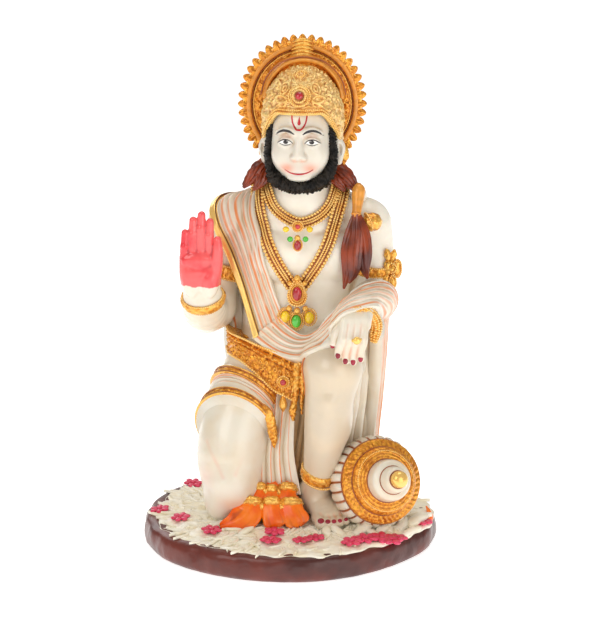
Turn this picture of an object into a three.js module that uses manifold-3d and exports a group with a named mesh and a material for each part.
// A painted figurine of cast resin: a crowned monkey hero half kneeling on an oval ground, one palm
// raised in blessing, the other hand on the knee, with a mace lying beside the planted foot.
// Ground, figure and mace come out of one mould, so they are one solid.
// Millimetres, +Z up, the face towards -Y, origin in the middle of the underside.
// "Right" and "left" are the figure's own, so its right hand is at -X.

import * as THREE from "three";
import { mergeVertices } from "three/addons/utils/BufferGeometryUtils.js";
import Module from "manifold-3d";

const wasm = await Module();
wasm.setup();

// Driving dimensions
const GROUND_WIDTH = 117;
const GROUND_DEPTH = 100;
const RIM_HEIGHT = 10.5;
const GROUND_RISE = 2.5; // how far the ground swells from its rim to the feet
const FIGURE_HEIGHT = 185; // from the ground under the foot to the top of the halo
const FIGURE_ASIDE = 1.3; // the figure stands this far to the left of the ground's middle
const HALO_WIDTH = 50;
const HALO_HEIGHT = 54;
const HALO_THICKNESS = 3.6;
const HALO_PETALS = 36;
const MACE_DIAMETER = 36.4;
const MACE_LENGTH = 66;
const MACE_HANDLE_DIAMETER = 5.4;
const GIRDLE_THICKNESS = 1.4;
const SHAWL_THICKNESS = 1.6;

// The pose is drawn on a figure 185 units tall and scaled to its height.
const DRAWN_HEIGHT = 185;
const UNIT = FIGURE_HEIGHT / DRAWN_HEIGHT;
const GROUND_TOP = RIM_HEIGHT + GROUND_RISE;
const MIDLINE = 3.3; // the head and neck stand a little to the figure's left
const WELD = 0.02; // corners nearer than this become one

const at = (x, y, z) => new THREE.Vector3(x * UNIT + FIGURE_ASIDE, y * UNIT, GROUND_TOP + z * UNIT);
const lerp = THREE.MathUtils.lerp;
const clamp = THREE.MathUtils.clamp;
const X_AXIS = new THREE.Vector3(1, 0, 0);
const Y_AXIS = new THREE.Vector3(0, 1, 0);
const FRONT = new THREE.Vector3(0, -1, 0);
const UP = new THREE.Vector3(0, 0, 1);

// A closed three.js geometry as a solid, whichever way round its faces were wound.
function solid(geometry) {
  const bare = geometry.clone();
  bare.deleteAttribute("normal");
  bare.deleteAttribute("uv");
  const merged = mergeVertices(bare, 1e-4);
  const vertProperties = new Float32Array(merged.attributes.position.array);
  const triVerts = new Uint32Array(merged.index.array);
  const mesh = { numProp: 3, vertProperties, triVerts, tolerance: WELD };
  const made = () => new wasm.Manifold(new wasm.Mesh(mesh));
  if (made().volume() > 0) return made();
  for (let i = 0; i < triVerts.length; i += 3) {
    [triVerts[i + 1], triVerts[i + 2]] = [triVerts[i + 2], triVerts[i + 1]];
  }
  return made();
}

function geometryOf(body) {
  const mesh = body.getMesh();
  const geometry = new THREE.BufferGeometry();
  geometry.setAttribute("position", new THREE.BufferAttribute(new Float32Array(mesh.vertProperties), 3));
  geometry.setIndex(new THREE.BufferAttribute(new Uint32Array(mesh.triVerts), 1));
  geometry.computeVertexNormals();
  return geometry;
}

const join = (parts) => parts.reduce((whole, part) => whole.add(part));

// Moves each vertex of a geometry to where place() puts it.
function reshape(geometry, place) {
  const position = geometry.attributes.position;
  const point = new THREE.Vector3();
  for (let i = 0; i < position.count; i += 1) {
    point.fromBufferAttribute(position, i);
    const moved = place(point);
    position.setXYZ(i, moved.x, moved.y, moved.z);
  }
  return geometry;
}

// A rounded ellipsoid, tilted by `roll` degrees about the line of sight.
function blob(centre, radii, { sides = 5, rings = 3, roll = 0 } = {}) {
  const geometry = new THREE.SphereGeometry(1, sides, rings);
  geometry.rotateX(Math.PI / 2);
  geometry.scale(...radii.map((radius) => radius * UNIT));
  geometry.rotateY(THREE.MathUtils.degToRad(roll));
  geometry.translate(...at(...centre).toArray());
  return solid(geometry);
}

// A round-ended limb through stations [x, y, z, wide, deep], oval where deep is given.
function limb(stations, { sides = 7, steps = 3, caps = 1, across = X_AXIS } = {}) {
  const curve = new THREE.CatmullRomCurve3(stations.map(([x, y, z]) => at(x, y, z)));
  const girths = new THREE.CatmullRomCurve3(
    stations.map(([, , , wide, deep = wide]) => new THREE.Vector3(wide * UNIT, deep * UNIT, 0)),
  );
  const geometry = new THREE.CapsuleGeometry(1, 1, caps, sides, steps);
  const placed = reshape(geometry, (p) => {
    const t = clamp(p.y + 0.5, 0, 1);
    const beyond = p.y + 0.5 - t;
    const along = curve.getTangent(t);
    const side = across.clone().addScaledVector(along, -across.dot(along)).normalize();
    const front = along.clone().cross(side);
    const girth = girths.getPoint(t);
    return curve
      .getPoint(t)
      .addScaledVector(along, beyond * Math.min(girth.x, girth.y))
      .addScaledVector(side, p.x * girth.x)
      .addScaledVector(front, p.z * girth.y);
  });
  return solid(placed);
}

// Cloth lying between two edge lines, ridged into folds and bulging outwards.
// Its flat back is sunk in the body.
function cloth(edgeA, edgeB, options) {
  const { steps = 7, folds = 2, depth = 0.9, bulge = 0, thickness, sink, facing = FRONT } = options;
  const a = new THREE.CatmullRomCurve3(edgeA.map((p) => at(...p)));
  const b = new THREE.CatmullRomCurve3(edgeB.map((p) => at(...p)));
  const top = folds * 2 + 1;
  const sides = top + 2;
  const geometry = new THREE.CylinderGeometry(1, 1, 1, sides, steps);
  const placed = reshape(geometry, (p) => {
    const v = p.y + 0.5;
    const turn = Math.atan2(p.x, p.z) / (2 * Math.PI);
    const corner = Math.round((turn + 1) * sides) % sides;
    const isHub = Math.hypot(p.x, p.z) < 0.5;
    const isBack = corner >= top;
    const u = isHub ? 0.5 : isBack ? sides - 1 - corner : corner / (top - 1);
    const start = a.getPoint(v);
    const span = b.getPoint(v).sub(start);
    const outward = span.clone().cross(a.getTangent(v).add(b.getTangent(v))).normalize();
    if (outward.dot(facing) < 0) outward.negate();
    const ridge = depth * UNIT * (corner % 2) + bulge * UNIT * Math.sin(Math.PI * u);
    const lift = isBack ? -sink * UNIT : isHub ? 0 : thickness + ridge;
    return start.addScaledVector(span, u).addScaledVector(outward, lift);
  });
  return solid(placed);
}

function groundHeight(x, y) {
  const share = Math.hypot(x / (GROUND_WIDTH / 2), y / (GROUND_DEPTH / 2));
  return RIM_HEIGHT + GROUND_RISE * (1 - clamp(share, 0, 1) ** 2);
}

// The ground: an oval slab with an uneven rim and a top that swells towards the feet.
function ground() {
  const profile = [
    [0, 0],
    [0.955, 0],
    [1, 0.4],
    [0.985, 0.85],
    [0.94, 1],
    [0.62, 1],
    [0, 1],
  ].map(([radius, height]) => new THREE.Vector2(radius, height));
  const geometry = new THREE.LatheGeometry(profile, 32);
  geometry.rotateX(Math.PI / 2);
  reshape(geometry, (p) => {
    const angle = Math.atan2(p.y, p.x);
    const wobble = 1 + 0.012 * Math.sin(3 * angle + 0.6) + 0.009 * Math.sin(5 * angle + 2.1);
    const x = (p.x * wobble * GROUND_WIDTH) / 2;
    const y = (p.y * wobble * GROUND_DEPTH) / 2;
    return new THREE.Vector3(x, y, p.z > 0.95 ? groundHeight(x, y) : p.z * RIM_HEIGHT);
  });
  geometry.computeBoundingBox();
  const size = geometry.boundingBox.getSize(new THREE.Vector3());
  const middle = geometry.boundingBox.getCenter(new THREE.Vector3());
  geometry.translate(-middle.x, -middle.y, 0);
  geometry.scale(GROUND_WIDTH / size.x, GROUND_DEPTH / size.y, 1);
  return solid(geometry);
}

// Trunk, neck and shoulders.
function torso() {
  const trunk = [
    [0.5, 14, 52, 19, 15],
    [0, 13, 62, 22.6, 17],
    [0.5, 12.5, 74, 20.6, 15],
    [2, 12.5, 88, 21.6, 14.5],
    [MIDLINE, 12.5, 102, 23, 15.5],
    [MIDLINE, 13, 113, 21.6, 12],
    [MIDLINE, 12, 121, 11, 8.5],
  ];
  return [
    limb(trunk, { sides: 10, steps: 6 }),
    limb([[MIDLINE, 13, 110, 10], [MIDLINE, 9, 132, 9.4]], { steps: 1 }),
    limb([[-20, 14, 115, 7], [MIDLINE, 16, 123.4, 7.5], [26, 14, 115, 7]], { sides: 5, steps: 2 }),
    blob([-7, 2.5, 102], [11, 7, 9.5], { sides: 8, rings: 4 }),
    blob([13, 2.5, 102], [11, 7, 9.5], { sides: 8, rings: 4 }),
    blob([0.5, 4, 77], [15, 8, 16], { sides: 8, rings: 4 }),
  ];
}

// Right arm: upper arm hanging, forearm forward, palm raised.
function rightArm() {
  const fingers = [
    [-41.2, 115.2, 1.8],
    [-38.2, 119.8, 1.85],
    [-35.2, 121.6, 1.9],
    [-32.2, 119, 1.85],
  ];
  return [
    limb([[-23.4, 14, 111.6, 10.6, 10.8], [-28.4, 13, 96, 8.5], [-32, 9, 81, 9]], { caps: 2 }),
    limb([[-32, 9.4, 80, 8.8, 9.2], [-34.4, 0, 82, 8.8, 9.8], [-34.8, -9, 88, 7.4, 6.4]], { caps: 2 }),
    limb([[-34.6, -9, 88, 6.8, 5], [-35.8, -13, 97, 7.8, 3.9], [-36.5, -13.5, 107, 7, 2.8]], { steps: 2 }),
    limb([[-31, -13, 97, 3, 3.2], [-28.8, -15.4, 105, 2.2], [-28.6, -16, 112, 1.6]], { sides: 5, steps: 2 }),
    ...fingers.map(([x, tip, girth]) =>
      limb([[x, -13.5, 105, girth], [x + 0.2, -14.5, tip, girth * 0.86]], { sides: 4, steps: 1, caps: 2 }),
    ),
  ];
}

// Left arm: elbow beside the waist, hand hanging over the raised knee.
function leftArm() {
  const fingers = [
    [19.2, 16.6, 72],
    [21.4, 19.4, 70],
    [23.8, 22.2, 69.6],
    [26.2, 25, 70.6],
  ];
  return [
    limb([[27.6, 14, 111.6, 10.8], [31, 13, 97, 8.5], [30.6, 9, 84, 8.2]], { caps: 2 }),
    limb([[30.8, 9, 84, 7.8], [30, -3, 86, 7], [26.6, -14, 87.5, 5.6, 5]], { across: UP }),
    limb([[26.6, -14, 87.5, 5.4, 4.6], [24.2, -22, 87, 6.2, 3.8], [22.6, -27, 82, 6.4, 3.2]]),
    limb([[19, -24, 84, 2.4], [16, -28.5, 80, 2], [14.6, -29.5, 75.5, 1.5]], { sides: 5, steps: 2 }),
    ...fingers.map(([knuckle, tip, low]) => {
      const finger = [[knuckle, -28, 83, 2], [(knuckle + tip) / 2, -31.2, 77, 1.8], [tip, -31, low, 1.5]];
      return limb(finger, { sides: 4, steps: 2 });
    }),
  ];
}

// Right leg: kneeling, shin and foot lying back on the ground.
function rightLeg() {
  const thigh = [
    [-10, 12, 58, 14],
    [-19.4, 3, 44, 14.6],
    [-24.6, -6, 26, 13.4],
    [-24.4, -8.5, 12.5, 11.3],
  ];
  return [
    limb(thigh, { sides: 10, steps: 4, caps: 2 }),
    limb([[-24, -4, 9.5, 9.5], [-21, 12, 9, 9.4], [-17, 27, 6.5, 6], [-15, 34, 5, 5.2]]),
    limb([[-15.5, 33, 6.5, 5, 5.6], [-14.6, 37.5, 4, 5.4, 4], [-14.4, 40, 1.5, 5.6, 2.4]], { steps: 2 }),
  ];
}

// Left leg: knee raised, foot planted and turned a little outwards.
function leftLeg() {
  const shin = [
    [15, -18, 62, 10.4],
    [13, -18, 46, 9],
    [11.2, -14.5, 28, 7.4],
    [9, -9.5, 13, 5.7],
    [8, -7, 6, 5.6],
  ];
  const toes = Array.from({ length: 5 }, (_, i) => {
    const spread = i / 4;
    const girth = lerp(2.5, 1.5, spread);
    const x = lerp(10.4, 20.4, spread);
    const y = lerp(-25.2, -21.6, spread ** 1.6);
    return limb([[x - 1.4, y + 6, 2.2, girth], [x, y + girth, girth - 0.6, girth]], { sides: 4, steps: 1 });
  });
  return [
    limb([[11, 12, 58, 14], [14.4, -4, 62, 12.6], [15, -16, 62.6, 11]], { sides: 9, steps: 2, caps: 2 }),
    limb(shin, { sides: 8, steps: 4, caps: 2 }),
    limb([[7.2, -3.5, 4.5, 5.2], [10.2, -11, 5, 5.6, 4.8], [14.2, -19, 2.6, 6.6, 2.8]]),
    ...toes,
  ];
}

// Head with muzzle, nose, eyes and ears; the beard frames it from temple to temple.
function head() {
  const pair = (offset, y, z) => [[MIDLINE - offset, y, z], [MIDLINE + offset, y, z]];
  const beard = [
    [12.2, 5.5, 156, 2.4, 3.2],
    [12.8, 5.5, 148, 2.6, 3.8],
    [11.8, 4.4, 138.5, 3.4, 4.2],
    [7.4, 1.6, 131, 3.8, 4],
  ];
  const jaw = [
    ...beard.map(([offset, y, z, wide, deep]) => [MIDLINE - offset, y, z, wide, deep]),
    [MIDLINE, -0.4, 128.6, 4, 4.2],
    ...beard.toReversed().map(([offset, y, z, wide, deep]) => [MIDLINE + offset, y, z, wide, deep]),
  ];
  return [
    blob([MIDLINE, 11, 148], [13, 14.6, 18.5], { sides: 10, rings: 7 }),
    blob([MIDLINE, 4, 141], [10.8, 8.6, 12], { sides: 8, rings: 6 }),
    blob([MIDLINE, 0.2, 136.6], [7.6, 5.6, 4.8], { sides: 8, rings: 4 }),
    limb([[MIDLINE, -3, 149, 1.6], [MIDLINE, -5.4, 141.6, 2.6, 2]], { sides: 5, steps: 1 }),
    ...pair(4.6, -2.6, 147.4).map((centre) => blob(centre, [2.7, 1.5, 1.5])),
    ...pair(13.8, 11, 142).map((centre) => blob(centre, [1.6, 3.2, 5.6])),
    limb(jaw, { sides: 5, steps: 10, across: FRONT }),
  ];
}

// Locks of hair resting on the shoulders, and the mass of it down the nape.
function hair() {
  const locks = [-1, 1].map((side) => {
    const [inner, outer] = [MIDLINE + side * 9, MIDLINE + side * 15];
    const lock = [[inner, 13, 137, 4], [outer, 11, 130.6, 4.2], [outer + side * 2, 9, 124.6, 2.6]];
    return limb(lock, { sides: 6, steps: 2 });
  });
  const nape = [[MIDLINE, 18, 146, 12, 9], [MIDLINE, 22, 126, 13.5, 7], [MIDLINE, 24, 110, 11, 4]];
  return [...locks, limb(nape, { steps: 2 })];
}

// The crown: a cap open over the face, a dome behind it, and a brim carrying a round medallion.
function crown() {
  const cap = blob([MIDLINE, 12, 153.6], [15.6, 15, 20.6], { sides: 12, rings: 9 });
  const cutter = { sides: 12, steps: 1 };
  const faceOpening = limb([[MIDLINE, -24, 138, 12.2, 20.4], [MIDLINE, 6, 138, 12.2, 20.4]], cutter);
  const underHead = limb([[MIDLINE, 12, 108, 30], [MIDLINE, 12, 117, 30]], cutter);
  const arch = [
    [14.6, 8, 141],
    [12.4, 3, 151],
    [6.5, -1.8, 157.4],
  ];
  const brim = [
    ...arch.map(([offset, y, z]) => [MIDLINE - offset, y, z, 1.5]),
    [MIDLINE, -3.4, 159.2, 1.5],
    ...arch.toReversed().map(([offset, y, z]) => [MIDLINE + offset, y, z, 1.5]),
  ];
  return [
    cap.subtract(faceOpening).subtract(underHead),
    blob([MIDLINE, 17, 159.5], [12.5, 11, 19], { sides: 9, rings: 6 }),
    limb(brim, { sides: 4, steps: 8, across: FRONT }),
    blob([MIDLINE, -1.4, 164], [4.2, 1.8, 4.2], { sides: 8, rings: 4 }),
    blob([MIDLINE, 3, 171.2], [1.8, 2, 2.4]),
    blob([MIDLINE - 7.4, 1, 165.5], [3.2, 1.8, 2.2], { roll: -24 }),
    blob([MIDLINE + 7.4, 1, 165.5], [3.2, 1.8, 2.2], { roll: 24 }),
  ];
}

// The halo: an upright oval edged with petals, with a raised band inside them, standing behind the crown.
function halo() {
  const petal = HALO_WIDTH * 0.042;
  const corners = HALO_PETALS * 3;
  const outline = new THREE.Shape();
  for (let i = 0; i < corners; i += 1) {
    const angle = ((i - 1) / corners) * 2 * Math.PI;
    const notch = i % 3 ? 0 : petal;
    const x = (HALO_WIDTH / 2 - notch) * Math.sin(angle);
    const z = (HALO_HEIGHT / 2 - notch) * Math.cos(angle);
    outline[i ? "lineTo" : "moveTo"](x, z);
  }
  const disc = new THREE.ExtrudeGeometry(outline, { depth: HALO_THICKNESS, bevelEnabled: false });
  const inner = 1 - (4.4 * petal) / HALO_WIDTH;
  const rim = new THREE.TorusGeometry(1, HALO_THICKNESS / HALO_WIDTH / 1.5, 3, 20);
  rim.scale((HALO_WIDTH / 2) * inner, (HALO_HEIGHT / 2) * inner, HALO_WIDTH / 2);
  rim.translate(0, 0, HALO_THICKNESS);
  const place = new THREE.Matrix4().makeRotationX(Math.PI / 2);
  place.setPosition(at(MIDLINE, 26, 0).setZ(GROUND_TOP + FIGURE_HEIGHT - HALO_HEIGHT / 2));
  const stem = limb([[MIDLINE, 22, 136, 7, 5], [MIDLINE, 24, 165, 9, 4]], { sides: 6, steps: 1 });
  return [solid(disc.applyMatrix4(place)), solid(rim.applyMatrix4(place)), stem];
}

// A collar and a long chain, with the stones that hang from them.
function necklaces() {
  const collar = [
    [-9.6, 10, 124.4, 1.7],
    [-8.4, 0.6, 119.8, 1.9],
    [-3, -3.4, 116, 2.1],
    [MIDLINE, -4, 115, 2.4],
    [9.6, -3.4, 116, 2.1],
    [15, 0.6, 119.8, 1.9],
    [16.2, 10, 124.4, 1.7],
  ];
  const chain = [
    [-14.6, 9, 125, 2],
    [-13.6, 0.4, 118, 2],
    [-11.4, -3.6, 109, 2],
    [-6.6, -5, 100, 2],
    [1.4, -4.2, 91, 2.2],
    [10, -5, 100, 2],
    [15.6, -3.6, 109, 2],
    [18.8, 0.4, 118, 2],
    [20.6, 9, 125, 2],
  ];
  const stones = [
    [[MIDLINE - 1, -5.2, 112], [2.8, 2, 2.6]],
    [[MIDLINE - 1, -5, 107.6], [1.6, 1.5, 2.4]],
    [[1.4, -5, 88.6], [3.3, 2.2, 4.2]],
    [[-2.6, -3.9, 81.4], [1.9, 1.9, 2.6]],
    [[1.4, -4.3, 79.6], [1.9, 1.9, 2.8]],
    [[5.4, -3.7, 81.2], [1.9, 1.9, 2.6]],
  ];
  return [
    limb(collar, { sides: 4, steps: 7, across: UP }),
    limb(chain, { sides: 4, steps: 9, across: UP }),
    ...stones.map(([centre, radii]) => blob(centre, radii)),
  ];
}

// The shawl: over the right shoulder, across the chest, up over the left forearm and down beside the leg.
function shawl() {
  const thickness = SHAWL_THICKNESS;
  const chestOuter = [
    [-22, 20, 122],
    [-31.4, 13, 119],
    [-31, 5.4, 112.6],
    [-25.6, 0.4, 102],
    [-21.4, -1.6, 91],
    [-18.4, -2.4, 80.7],
    [-15.6, -4, 70.8],
  ];
  const chestInner = [
    [-10, 19, 126.6],
    [-14.6, 11, 125.4],
    [-15.6, 3.4, 119.6],
    [-13.2, -2.6, 110.6],
    [-10.6, -4.2, 99.7],
    [-7.4, -4.2, 88.8],
    [-3, -4.6, 77.8],
  ];
  const sagUpper = [
    [-6, -5, 80],
    [-1, -6.4, 75.4],
    [4.2, -9, 73.4],
    [9.1, -13.6, 76.6],
    [14.4, -18.4, 84],
    [21.1, -19.6, 91.4],
    [26.6, -14, 93.4],
    [31, -6, 92],
    [34, 4, 87],
  ];
  const sagLower = [
    [-16.4, -4, 71],
    [-10.8, -7, 67.4],
    [-5, -10, 65.4],
    [1.6, -15, 65.6],
    [8, -21, 69.6],
    [13.5, -25, 77],
    [20, -25.4, 85],
    [25.6, -21.4, 86],
    [29.6, -14, 82],
  ];
  const hangOuter = [
    [32.6, 17, 92],
    [36.4, 9, 87],
    [36.6, 9, 76],
    [36, 12, 60],
    [35, 14, 42],
    [33, 16, 20],
    [33, 17, 0],
  ];
  const hangInner = [
    [29, 0, 93],
    [33.4, -6, 85],
    [34.4, -4.5, 76],
    [33.8, -1, 62],
    [32.8, 3, 44],
    [30.6, 6, 22],
    [30, 7, 0],
  ];
  const backOuter = [
    [-28, 14, 116],
    [-28.4, 22, 104],
    [-27.4, 21, 88],
    [-26.6, 18, 72],
    [-26, 20, 52],
  ];
  const backInner = [
    [-8, 20, 124],
    [-6, 28.5, 110],
    [-6, 29.5, 90],
    [-6, 29.5, 72],
    [-6, 31, 52],
  ];
  return [
    cloth(chestOuter, chestInner, { folds: 3, bulge: 0.4, thickness, sink: 6 }),
    cloth(sagUpper, sagLower, { steps: 8, bulge: 1, thickness, sink: 7 }),
    cloth(hangOuter, hangInner, { steps: 4, bulge: 0.6, thickness, sink: 3, facing: X_AXIS }),
    cloth(backOuter, backInner, { steps: 3, bulge: 1, thickness, sink: 8, facing: Y_AXIS }),
  ];
}

// The loincloth: full over both thighs, with pleats falling to the ground in front and behind.
function loincloth() {
  const pleatLeft = [
    [-11, -5, 64],
    [-10, -8, 40],
    [-10.4, -9, 26],
    [-12, -11.5, 8],
  ];
  const pleatRight = [
    [3, -6.4, 70],
    [4, -8, 40],
    [4, -9, 26],
    [3.4, -11.5, 8],
  ];
  const backRight = [
    [-10, 26, 66],
    [-10, 28, 44],
    [-9, 31, 22],
    [-8, 34, 1],
  ];
  const backLeft = [
    [18, 26, 66],
    [26, 23, 44],
    [31, 21, 22],
    [34, 18, 1],
  ];
  const sideFront = [
    [23, -10, 68],
    [21, -9, 44],
    [17, -5, 24],
    [14, 0, 4],
  ];
  const sideBack = [
    [33, 2, 84],
    [33.4, 6, 54],
    [32, 9, 26],
    [31, 12, 2],
  ];
  const fall = { steps: 3, depth: 1.4, thickness: SHAWL_THICKNESS, sink: 14 };
  return [
    cloth(pleatLeft, pleatRight, { ...fall, folds: 4, bulge: 1 }),
    cloth(sideFront, sideBack, fall),
    limb([[-8, 12, 62, 16.6], [-15.6, 6, 50, 16.4], [-20, 1.4, 40.6, 15.8]], { sides: 9, steps: 2, caps: 2 }),
    limb([[11, 12, 60, 15], [13.6, 0, 62, 14], [14.6, -7, 62.4, 12.6]], { sides: 8, steps: 2 }),
    cloth(backRight, backLeft, { ...fall, folds: 4, depth: 1.8, bulge: 5, sink: 22, facing: Y_AXIS }),
  ];
}

// The fringed ends of the pleats, spread on the ground as fans in two tiers.
function hemFans() {
  const fan = (x, y, z, reach, width) => {
    const [root, middle] = [[x + 0.6, y + 5, z + 5, 2.8], [x, y, z + 2.4, width * 0.8, 3]];
    return limb([root, middle, [x - 0.8, y - reach, z, width, 1.8]], { sides: 5, steps: 2 });
  };
  const xs = [-20, -10, 0.6];
  return [
    ...xs.map((x) => fan(x, -17.5, 0.8, 5, 5.6)),
    ...xs.map((x) => fan(lerp(x, -4, 0.3), -11.5, 6.2, 3, 3.8)),
  ];
}

// The girdle: a wide band round the waist, dropping in front to a point with a medallion.
function girdle() {
  const upper = [
    [-24, 17, 72],
    [-24.4, 10, 72],
    [-22.4, 2.4, 71.4],
    [-18, -2, 70],
    [-12, -5, 68],
    [-4, -6.6, 65.6],
    [4, -7.4, 62.6],
  ];
  const lower = [
    [-24, 17, 62],
    [-25, 10, 62],
    [-24, 2, 62.6],
    [-19.4, -3.4, 61.4],
    [-13.6, -6.4, 57.4],
    [-8, -8.4, 52.8],
    [-2, -9, 49.4],
  ];
  const facing = new THREE.Vector3(-0.7, -1, 0);
  return [
    cloth(upper, lower, { steps: 6, depth: 0.6, thickness: GIRDLE_THICKNESS, sink: 9, facing }),
    limb([[0.4, 14, 62, 24.4, 18.4], [0.2, 14, 69, 23.4, 17.6]], { sides: 12, steps: 1 }),
    blob([-4.3, -10.4, 55], [3, 1.6, 3], { sides: 7 }),
    blob([-4.2, -10, 47.6], [2, 1.7, 3.4]),
  ];
}

// The spray of leaves on the left armlet.
function armletLeaves() {
  return [-30, 40].map((roll, i) => blob([38.2, 7.6, 98.6 - i * 5], [1.8, 1.8, 3.6], { roll }));
}

// The tail: from the small of the back up and over the left shoulder, its tuft held in a sleeve.
function tail() {
  const spine = [
    [2, 26, 64, 4],
    [11, 27.4, 74, 3.8],
    [18.6, 23.4, 90, 3.6],
    [24, 23.6, 106, 3.4],
    [25.4, 17, 119.6, 3.2],
    [25, 8, 124.4, 3],
    [24.7, 3.4, 124, 3],
  ];
  const tips = [
    [20.6, -3.6, 92],
    [24.2, -5, 97],
    [29.4, -3.6, 95],
  ];
  return [
    limb(spine, { sides: 5, steps: 7 }),
    limb([[24.8, 3, 128, 3], [24.4, -1.6, 118.5, 2.5]], { sides: 5, steps: 1 }),
    ...tips.map(([x, y, z]) => {
      const tuft = [[24.4, -3.4, 116, 2.6], [x * 0.9 + 2.4, -5.4, 105, 3.4, 3], [x, y, z, 1]];
      return limb(tuft, { sides: 4, steps: 2 });
    }),
    blob([29.6, 6, 116], [3, 3.4, 3.2], { sides: 6 }),
  ];
}

// The mace lies on the ground: a drum head, a cone of steps before it and the handle behind.
function mace() {
  const bedding = 0.6; // how deep the drum sits in the ground
  const radius = MACE_DIAMETER / 2;
  const grip = MACE_HANDLE_DIAMETER / 2;
  const nose = radius * 1.2;
  const tailEnd = nose - MACE_LENGTH;
  const profile = [
    [0, tailEnd],
    [grip, tailEnd],
    [grip, -radius * 1.3],
    [radius * 0.5, -radius * 1.1],
    [radius * 0.9, -radius * 0.7],
    [radius, -radius * 0.36],
    [radius * 0.92, radius * 0.1],
    [radius * 0.7, radius * 0.2],
    [radius * 0.66, radius * 0.36],
    [radius * 0.44, radius * 0.42],
    [radius * 0.4, radius * 0.7],
    [radius * 0.26, radius * 0.76],
    [radius * 0.24, radius * 0.96],
    [radius * 0.17, radius * 1.02],
    [0, nose],
  ].map(([r, along]) => new THREE.Vector2(r, along));
  const geometry = new THREE.LatheGeometry(profile, 19);
  const lift = Math.asin((radius - grip) / -tailEnd);
  const direction = new THREE.Vector3(0.384, -0.923, 0).multiplyScalar(Math.cos(lift)).setZ(Math.sin(lift));
  geometry.applyQuaternion(new THREE.Quaternion().setFromUnitVectors(Y_AXIS, direction));
  geometry.translate(33.2 * UNIT + FIGURE_ASIDE, -16.5 * UNIT, GROUND_TOP + radius * Math.cos(lift) - bedding);
  return [solid(geometry)];
}

const casting = join([
  ground(),
  ...torso(),
  ...rightArm(),
  ...leftArm(),
  ...rightLeg(),
  ...leftLeg(),
  ...head(),
  ...hair(),
  ...crown(),
  ...halo(),
  ...necklaces(),
  ...shawl(),
  ...loincloth(),
  ...hemFans(),
  ...girdle(),
  ...armletLeaves(),
  ...tail(),
  ...mace(),
]);

const paintedResin = new THREE.MeshStandardMaterial({ color: 0xf1e8da, roughness: 0.3, metalness: 0 });
const statue = new THREE.Mesh(geometryOf(casting), paintedResin);
statue.name = "hanuman_statue";

const group = new THREE.Group();
group.add(statue);

export default group;
